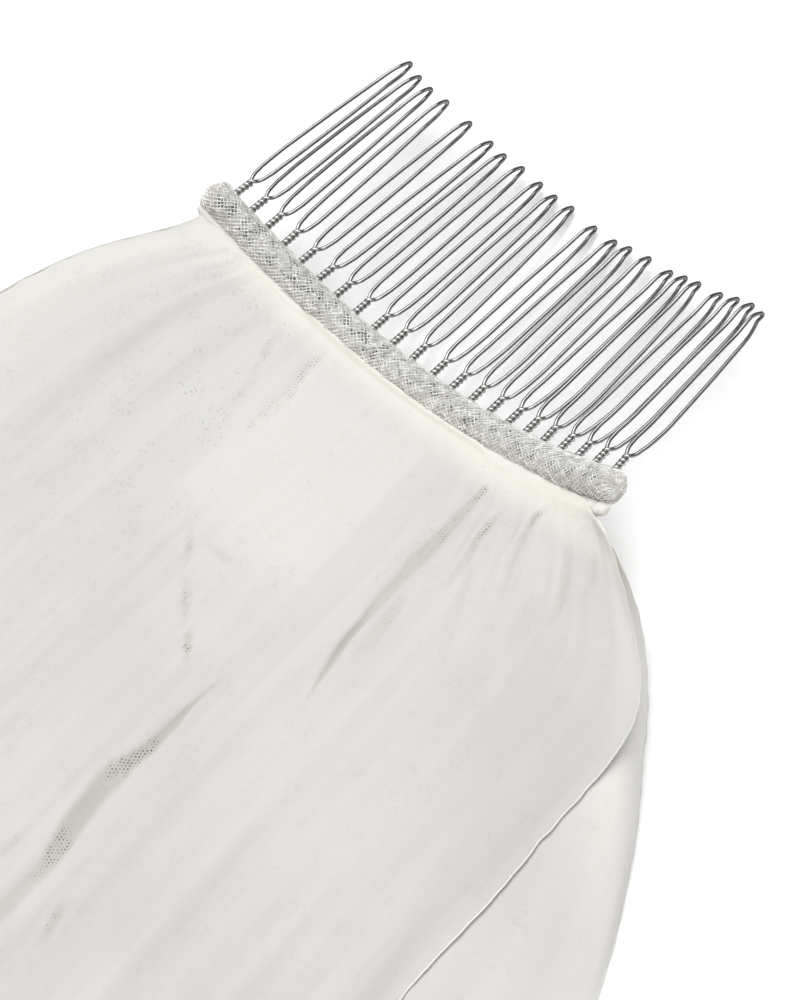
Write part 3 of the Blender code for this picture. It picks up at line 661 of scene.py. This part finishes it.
def loop_path(number, drift, lean, reach):
    """One hairpin loop as (points, outward directions). Half the gap between its legs is read
    along the loop and rounded at its bends. The loop lies level and bows sideways. At its tip it
    hooks down and turns over, so that the right leg leaves it below the left one. The shank's
    two strands turn round each other by half a turn for each HALF_TURN."""
    root = PITCH * (number - (TEETH - 1) / 2) + drift
    tip = TOOTH_TIP + reach + TIP_PAST
    leg = np.array(LEG_NEAR_ROOT + tuple((tip - back, apart) for back, apart in LEG_NEAR_TIP))
    leg_forward, leg_apart = leg.T
    ends = np.concatenate([[0.0], np.cumsum(np.hypot(np.diff(leg_forward), np.diff(leg_apart)))])
    walk = np.linspace(0.0, 2 * ends[-1], 1200)
    reached = np.minimum(walk, 2 * ends[-1] - walk)
    kernel = np.ones(2 * int(BEND_ROUNDED / walk[1]) + 1)
    kernel /= kernel.sum()

    def rounded(values):
        padded = np.pad(values, len(kernel) // 2, mode="reflect", reflect_type="odd")
        return np.convolve(padded, kernel, mode="valid")

    forward = rounded(np.interp(reached, ends, leg_forward))
    apart = rounded(np.interp(reached, ends, leg_apart) * np.where(walk < ends[-1], -1.0, 1.0))
    hook = TIP_HOOK * smooth((forward - tip + HOOK_LENGTH) / HOOK_LENGTH)
    bow = LOOP_BOW[0] + (LOOP_BOW[1] - LOOP_BOW[0]) * number / (TEETH - 1)
    bow = bow * smooth((forward - BOW_START) / BOW_IN) * smooth((tip - forward) / BOW_OUT)
    bend = (forward - LOOP_ROOT) / (tip - LOOP_ROOT)
    twist = math.pi / HALF_TURN * TURN_SOFT * np.log1p(np.exp((SHANK_END - forward) / TURN_SOFT))
    turned = twist - TIP_TURN * smooth((forward - tip + TIP_TURN_LENGTH) / TIP_TURN_LENGTH)
    inward = 2.0 * BOW * root / HALF_SPINE**2
    u = root + bend * (lean - drift) - inward * (forward - LOOP_ROOT)
    points = spine(u, forward, -hook)
    points[:, 0] += apart * np.cos(turned) + bow
    points[:, 2] += apart * np.sin(turned)
    dense = (reached < 8.5) | (reached > ends[-1] - 3.6)
    keep = np.flatnonzero((np.arange(len(walk)) % np.where(dense, 3, 18)) == 0)
    keep = np.union1d(keep, [0, len(walk) - 1])
    outward = np.stack([-np.sin(u / ARCH_RADIUS), np.zeros_like(u), np.cos(u / ARCH_RADIUS)], axis=-1)
    return points[keep], outward[keep]


for number, loop in enumerate(LOOPS):
    path, outward = loop_path(number, *loop)
    piece = tubes(f"comb_loop_{number + 1:02d}", path[None], outward[None], WIRE / 2, 12, STEEL)
    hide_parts(f"tooth_{number + 1:02d}")

# The wrap: a binding round the spine in ivory and painted shade, stiff net wound over it, and
# its stitches


def roll(u, angle, half_width, half_height, back=WRAP_SET_BACK):
    """A point on a flattened roll: forward = width cos a - back, up = -height sin a."""
    return spine(u, half_width * np.cos(angle) - back, -half_height * np.sin(angle))


def end_taper(u, reach, round_over):
    """How full a roll is near its two ends: sqrt(1 - (1 - distance / round_over)^2)."""
    distance = np.minimum(u - reach[0], reach[1] - u) / round_over
    return np.sqrt(np.clip(1.0 - (1.0 - np.clip(distance, 0.0, 1.0)) ** 2, 0.0, 1.0))


def eased(low, high, count):
    """Places from low to high, closer together at both ends: the middle less half a cosine."""
    return (low + high) / 2 - (high - low) / 2 * np.cos(np.linspace(0.04, math.pi - 0.04, count))


def binding():
    """The roll inside the net: NET_CLEAR under it, a little lumpy, ivory at its back and ends. The
    film over its shade thickens along its front and to the right, where it also breaks into
    slanted bands: cos(2 pi / BAND_PITCH (u - forward))."""
    u = eased(WRAP_REACH[0] + 0.21, WRAP_REACH[1] - 0.11, 260)[:, None]
    angle = np.linspace(0.0, 2 * math.pi, 48, endpoint=False)[None, :]
    full = end_taper(u, (WRAP_REACH[0] + 0.2, WRAP_REACH[1] - 0.1), 1.8)
    lumps = 1.0 + 0.03 * waves(u, 0.4, 1.6, 6, 3, 2.0 * np.sin(angle))
    width, height = WRAP_HALF_WIDTH - NET_CLEAR, WRAP_HALF_HEIGHT - NET_CLEAR
    points = roll(u, angle, width * full * lumps, height * full * lumps)
    forward = np.cos(angle) + 0.0 * u
    inside = smooth((u + 43.2) / 1.6) * smooth((44.2 - u) / 1.8)
    deep = smooth((forward + 0.85) / 0.3) * inside
    across = u - WRAP_HALF_WIDTH * forward
    slanted = np.cos(2.0 * math.pi / BAND_PITCH * across) * smooth((u - 2.0) / 16.0)
    streaks = waves(u, 1.2, 4.0, 8, 5, 3.0 * angle) + 0.3 * forward + 0.5 * smooth((u - 2.0) / 20.0)
    film = 0.15 + 0.75 * smooth((streaks + 0.6 * slanted - 0.1) / 0.7)
    marks = {"deep": deep, "film": film}
    return surface("wrap_binding", points, LINING, joined=True, capped=True, marks=marks)


def net_layer(name, starts, slope, thick, lift, seed, reach):
    """Threads wound both ways round the wrap: angle = start + slope * u, uneven in their path
    and thickness."""
    u = np.linspace(*reach, 400)[None, :]
    start = np.linspace(0.0, 2 * math.pi, starts, endpoint=False)[:, None]
    full = end_taper(u, WRAP_REACH, 1.6)
    paths, outs, thicks = [], [], []
    for way in (-1.0, 1.0):
        sway = 0.10 * waves(u, 0.3, 1.1, 5, seed, 3.0 * np.sin(start))
        sway = sway + 0.04 * waves(u, 3.0, 7.0, 7, seed + 3, 40.0 * way * start)
        angle = start + way * slope * u + sway
        raised = lift + 0.05 * way + 0.05 * waves(u, 1.0, 4.0, 5, seed + 7, start)
        points = roll(u, angle, (WRAP_HALF_WIDTH + raised) * full, (WRAP_HALF_HEIGHT + raised) * full)
        paths.append(points)
        outs.append(unit(points - roll(u + 0.0 * angle, angle, 0.0, 0.0)))
        swell = np.clip(waves(u, 1.5, 5.0, 6, seed + 9, 30.0 * start), -1.2, 1.2)
        thicks.append(thick * (1.0 + 0.35 * swell))
    return tubes(name, np.concatenate(paths), np.concatenate(outs), np.concatenate(thicks), 4, NET)


def stitches():
    """Short bright stitches over the net, one for each 2.4 mm, slanted across the wrap: from
    (u - h, f - h) to (u + h, f + h), held to its top."""
    draw = np.random.RandomState(61)
    count = 36
    middle = np.linspace(-41.5, 43.0, count)[:, None] + draw.uniform(-0.5, 0.5, (count, 1))
    forward = draw.uniform(-0.9, 1.1, (count, 1))
    half = draw.uniform(0.35, 0.7, (count, 1))
    share = np.linspace(-1.0, 1.0, 9)[None, :]
    width, height = WRAP_HALF_WIDTH + 0.12, WRAP_HALF_HEIGHT + 0.12
    angle = -np.arccos(np.clip((forward + half * share) / width, -0.98, 0.98))
    u = middle + half * share
    points = roll(u, angle, width, height - 0.14 * share**2)
    thick = 0.11 * np.sqrt(1.0 - 0.8 * share**2) + 0.0 * u
    return tubes("wrap_stitches", points, unit(points - roll(u, angle, 0.0, 0.0)), thick, 6, NET)


binding_piece = binding()
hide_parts("wrap")
fine_net = net_layer("wrap_net_fine", 21, 0.38, 0.092, -0.08, 11, (-43.87, 44.97))
loose_net = net_layer("wrap_net_outer", 6, 0.24, 0.06, 0.16, 23, (-43.0, 44.4))
stitches()

# The heading: the tiers' gathered top edge, rolled and stitched behind the wrap


def heading_roll():
    """A soft roll along the comb. From left to right its middle lies 3.2 to 4.6 mm behind the
    spine and its half width grows from 1.0 to 2.4 mm. Its gathers pinch it a little, and it sinks
    by 1 mm (u / 44)^2 towards its ends, and by 0.8 mm more at the right one, so that the tiers
    come out of it level. Its last 7 mm on the right are crumpled and drawn in behind the wrap."""
    u = eased(HEADING_REACH[0] - 0.6, HEADING_REACH[1] + 0.4, 420)[:, None]
    share = (u - HEADING_REACH[0]) / (HEADING_REACH[1] - HEADING_REACH[0])
    angle = np.linspace(0.0, 2 * math.pi, 36, endpoint=False)[None, :]
    full = end_taper(u, (HEADING_REACH[0] - 0.8, HEADING_REACH[1] + 0.6), 3.0)
    pinch = 1.0 + 0.015 * waves(u, 3.0, 7.0, 8, 31, 1.5 * np.sin(angle)) + 0.04 * waves(u, 0.2, 0.8, 5, 37)
    last = smooth((u - 38.0) / 7.0)
    pinch = pinch + 0.09 * waves(u, 2.0, 5.0, 6, 41, 4.0 * np.sin(angle)) * last
    width, set_back = 1.0 + 1.4 * share - 0.8 * last, 3.2 + 1.4 * share - 0.9 * last
    points = roll(u, angle, width * full * pinch, 1.1 * full * pinch, set_back)
    points[..., 2] -= (u / 44.0) ** 2 + 0.8 * smooth((u - 26.0) / 16.0)
    return surface("heading_roll", points, ROLLED, joined=True, capped=True)


heading_piece = heading_roll()
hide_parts("heading")

# The tiers

# Where an edge falls by 1 mm, it also moves to the left and forward by this much (mm), so the
# right edge rolls under the cloth and the left one spreads out.
EDGE_FALL = np.array([-0.493, 0.359, -1.0])
# How far each side edge lies to the right of its plain line: mm behind the heading, then mm.
EDGE_DRIFT = {
    "lower": {
        "left": ((0, 3.5), (2, 4.6), (5, 3.0), (9, 1.4), (13, 0.1), (18, -1.1), (26, -3.2), (60, -6.0)),
        "right": ((0, 0.0), (5, -0.5), (12, -1.3), (21, -2.0), (31, -0.8), (42, 0.0), (60, 0.3)),
    },
    "upper": {
        "left": ((0, 3.7), (2, 4.8), (5, 3.2), (9, 1.6), (13, 0.3), (18, -0.9), (26, -3.0), (60, -5.5)),
        "right": ((0, 0.2), (3, 0.4), (6, 0.6), (9, 1.5), (12, 2.5), (16, 3.2), (20, 2.8),
                  (25, 1.4), (31, -0.3), (38, -1.8), (51, -2.7), (65, -3.9), (110, -5.0)),
    },
}


def tier_grid(tier, length, corner, size):
    """(side, back, x, y) of a tier's grid. Rows crowd towards the heading as t^1.9, and the hem
    rounds up by corner shares of side^2 and side^8. The top edge is tucked forward onto the
    heading, less so at its right end, which leaves the heading bare there. The left corner is
    drawn out to the end of the wrap."""
    rows, columns = size
    down = np.linspace(0.0, 1.0, rows)[:, None] ** 1.9
    side = np.linspace(-1.0, 1.0, columns)[None, :]
    back = length * (1.0 - corner[0] * side**2 - corner[1] * side**8) * down
    side = np.broadcast_to(side, back.shape)
    even, outer = fan(tier, side, back)
    x = even * side + outer * side * np.abs(side)
    left, right = (np.interp(back, *np.array(EDGE_DRIFT[tier][key]).T) for key in ("left", "right"))
    x = x + np.where(side > 0, right, left) * smooth((np.abs(side) - 0.5) / 0.5)
    tucked = TUCK * np.exp(-back / TUCK_OVER) * (1.0 - 0.65 * smooth((side - 0.86) / 0.14))
    left_corner = smooth((-side - 0.9) / 0.1) * np.exp(-back / 2.5)
    x = x - 3.8 * left_corner
    return side, back, x, behind(side, back) + tucked + 2.6 * left_corner


def gathers(side, back, seed):
    """The small pleats of the gathered cloth: fine ones that die out over 16 mm and broader
    ones over 70 mm, both running down the fan, and slow swells that stay."""
    fine = 0.04 * waves(side, 90.0, 170.0, 14, seed, back / 14.0) * np.exp(-back / 16.0)
    broad = 0.08 * waves(side, 34.0, 80.0, 12, seed + 1, back / 50.0) * np.exp(-back / 70.0)
    slow = 0.16 * waves(side, 12.0, 34.0, 10, seed + 2, back / 110.0) * smooth(back / 40.0)
    return (fine + broad + slow * (0.4 + 0.6 * smooth(back / 260.0))) * smooth(back / 3.0)


def cloth_marks(side, back, specks, dark=0.0, net=0.0, pale=0.0):
    """Point marks: how closely the layers cover the cloth, and where it is specked, dark, open,
    pale or warm (each 0 to 1). Specked, dark and open paint shade; pale lightens the cloth over the
    label and towards the upper tier's left edge, and paints light on the lower tier's side edges.
    It is warm where it comes out of the heading."""
    cover = 1.0 - 0.32 * smooth((back - 100.0) / 300.0)
    cover = cover - 0.1 * smooth((np.abs(side) - 0.8) / 0.2) * smooth((back - 100.0) / 60.0)
    level = np.zeros(back.shape)
    warm = 1.0 - smooth((back - 0.5 - 1.5 * np.maximum(side, 0.0)) / 4.0)
    return {"cover": cover, "specks": level + specks, "dark": level + dark, "net": level + net,
            "pale": level + pale, "warm": warm}


def upper_tier():
    """The upper tier: the CAD form, with its gathers and creases. Its two side edges turn down
    onto the lower tier."""
    side, back, x, y = tier_grid("upper", UPPER_LENGTH, (0.06, 0.30), (230, 416))
    pressed, dark, net = creases(CREASES, x, y)
    dip = 1.1 * (1.0 - smooth(back / 1.2))
    z = upper_height(x, back) + 0.4 - dip + np.maximum(gathers(side, back, 51) + pressed, -1.0)
    fall = 1.45 * smooth((np.abs(side) - 0.93) / 0.07) * smooth(back / 12.0)
    beside = smooth((LABEL_WIDTH / 2 + 4.0 - np.abs(x)) / 8.0)
    pale = 0.5 * beside * smooth((LABEL_LENGTH + 4.0 - back) / 9.0) * smooth(back / 6.0)
    # left: where the specks of painted shade gather, left of the label
    left = np.exp(-(((x + 18.0) / 18.0) ** 2)) * np.exp(-(((y + 26.0) / 24.0) ** 2))
    marks = cloth_marks(side, back, (0.04 + 0.35 * left) * (1.0 - 1.6 * pale), dark, net, pale)
    # The cloth is also made paler towards its left edge
    marks["pale"] = np.maximum(pale, 0.8 * smooth((-side - 0.7) / 0.25))
    uv = np.stack([side * 0.5 + 0.5, back / UPPER_LENGTH], axis=-1)
    points = np.stack([x, y, z], axis=-1) + fall[..., None] * EDGE_FALL
    return surface("upper_tier", points, UPPER_TULLE, uv=uv, marks=marks), points


def lower_tier():
    """The lower tier: the CAD form with its gathers. Its two side edges round down to the floor:
    height * sqrt(1 - t^2), with t from 0 to 1 over the outer share of the cloth."""
    side, back, x, y = tier_grid("lower", LOWER_LENGTH, (0.08, 0.30), (240, 260))
    height = lower_height(x, back) + 0.5 + gathers(side, back, 71)
    outer = np.clip((np.abs(side) - 0.9) / 0.1, 0.0, 1.0)
    fall = np.minimum(height * (1.0 - np.sqrt(1.0 - outer**2)) * smooth(back / 14.0), height - 0.15)
    uv = np.stack([side * 0.5 + 0.5, back / LOWER_LENGTH], axis=-1)
    points = np.stack([x, y, height], axis=-1) + fall[..., None] * EDGE_FALL
    # Painted shadow at the top of the right edge, below the heading's right end
    shaded = 0.8 * smooth((side - 0.86) / 0.08) * np.exp(-((back / 6.0) ** 2))
    # Painted light on the rounded side edges near the heading, which lightens their shaded slopes
    painted_edge_light = smooth((np.abs(side) - 0.8) / 0.15) * (1.0 - smooth((back - 25.0) / 25.0))
    marks = cloth_marks(side, back, 0.05, dark=shaded, pale=painted_edge_light)
    return surface("lower_tier", points, LOWER_TULLE, uv=uv, marks=marks), points


def edge_cord(name, points, thick, starts):
    """The rolled and stitched edge: a fine, slightly wavy tube along the two sides and the hem.
    Near the heading it is only 0.05 mm, and it grows to its full size from starts backwards."""
    line = np.concatenate([points[:, 0], points[-1, 1:-1], points[::-1, -1]])
    walked = np.concatenate([[0.0], np.cumsum(np.linalg.norm(np.diff(line, axis=0), axis=-1))])
    line = line + np.array([0.12, 0.0, 0.06]) * waves(walked, 0.8, 2.4, 6, 91)[:, None]
    grown = 0.05 + (thick - 0.05) * smooth((-line[:, 1] - starts) / 15.0)
    line[:, 2] += 0.5 * grown
    up = np.broadcast_to(np.array([0.0, 0.0, 1.0]), line.shape)
    return tubes(name, line[None], up[None], grown[None], 6, EDGE_THREAD)


upper_piece, upper_points = upper_tier()
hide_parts("tier_upper")
lower_piece, lower_points = lower_tier()
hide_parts("tier_lower")
upper_edge = edge_cord("upper_edge", upper_points, 0.18, 18.0)
lower_edge = edge_cord("lower_edge", lower_points, 0.14, 90.0)

# The label tab


def label_tab():
    """The bare satin tab on the lower tier, between the tiers."""
    side = np.linspace(-1.0, 1.0, 60)[None, :]
    back = LABEL_BACK + LABEL_LENGTH * np.linspace(0.0, 1.0, 66)[:, None]
    x = side * LABEL_WIDTH / 2 + 0.0 * back
    back = back + 0.0 * side
    z = above(lower_height, x, back, WALL) + LABEL_GAP + 0.1
    y = behind(side_of("lower", x, back), back)
    return surface("label_tab_satin", np.stack([x, y, z], axis=-1), SATIN)


label_piece = label_tab()
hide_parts("label_tab")

# Studio: a white floor, a wide soft light overhead, a smaller one up and to the left, a weak one
# on the right, and dim surroundings

FLOOR_REACH, FLOOR_DROP = 6.0, 0.0004
LIT_POINT = (0.0, 0.2, 0.0)
# Each light's name, place and size (m) and power (W)
LIGHTS = (
    ("softbox", (-0.45, 0.65, 1.15), 0.6, 4.0),
    ("overhead", (-0.2, 0.3, 1.5), 2.0, 26.0),
    ("fill", (0.9, -0.1, 0.7), 0.8, 2.5),
)


def floor():
    """A plain square floor, just under the veil."""
    mesh = bpy.data.meshes.new("floor")
    corners = [
        (x * FLOOR_REACH, y * FLOOR_REACH, -FLOOR_DROP) for x, y in ((-1, -1), (1, -1), (1, 1), (-1, 1))
    ]
    mesh.from_pydata(corners, [], [(0, 1, 2, 3)])
    finish = principled("matt_white_floor", "#F6F6F6", 0.9, Specular_IOR_Level=0.1,
                        Emission_Color=linear("#FFFFFF"), Emission_Strength=0.12)[0]
    mesh.materials.append(finish)
    piece = bpy.data.objects.new("floor", mesh)
    bpy.context.scene.collection.objects.link(piece)


def soft_light(name, place, size, power):
    """A square light that faces LIT_POINT."""
    lamp = bpy.data.lights.new(name, "AREA")
    lamp.shape, lamp.size, lamp.energy = "SQUARE", size, power
    holder = bpy.data.objects.new(name, lamp)
    holder.location = place
    holder.rotation_mode = "QUATERNION"
    holder.rotation_quaternion = (Vector(LIT_POINT) - Vector(place)).to_track_quat("-Z", "Y")
    bpy.context.scene.collection.objects.link(holder)


floor()
for light in LIGHTS:
    soft_light(*light)
world = bpy.data.worlds.new("studio")
world.use_nodes = True
world.node_tree.nodes["Background"].inputs["Color"].default_value = linear("#F6F7F8")
world.node_tree.nodes["Background"].inputs["Strength"].default_value = 0.27
bpy.context.scene.world = world
bpy.context.scene.view_settings.view_transform = "Standard"

# The camera, fitted to the roots and tips of the 22 loops in the photograph
CAMERA_PLACE = (289.5, -217.5, 562.55)
CAMERA_RIGHT = Vector((0.7215, 0.6837, -0.1101)).normalized()
CAMERA_UP = Vector((-0.5500, 0.6623, 0.5087))
CAMERA_LENS, CAMERA_SENSOR = 158.4, 36.0
camera = bpy.data.cameras.new("camera")
camera.lens, camera.sensor_width = CAMERA_LENS, CAMERA_SENSOR
holder = bpy.data.objects.new("camera", camera)
back_axis = CAMERA_RIGHT.cross(CAMERA_UP).normalized()
up_axis = back_axis.cross(CAMERA_RIGHT)
holder.matrix_world = Matrix.Translation(Vector((np.array(CAMERA_PLACE) + PLACE) * MM)) @ Matrix(
    (CAMERA_RIGHT, up_axis, back_axis)
).transposed().to_4x4()
bpy.context.scene.collection.objects.link(holder)
bpy.context.scene.camera = holder
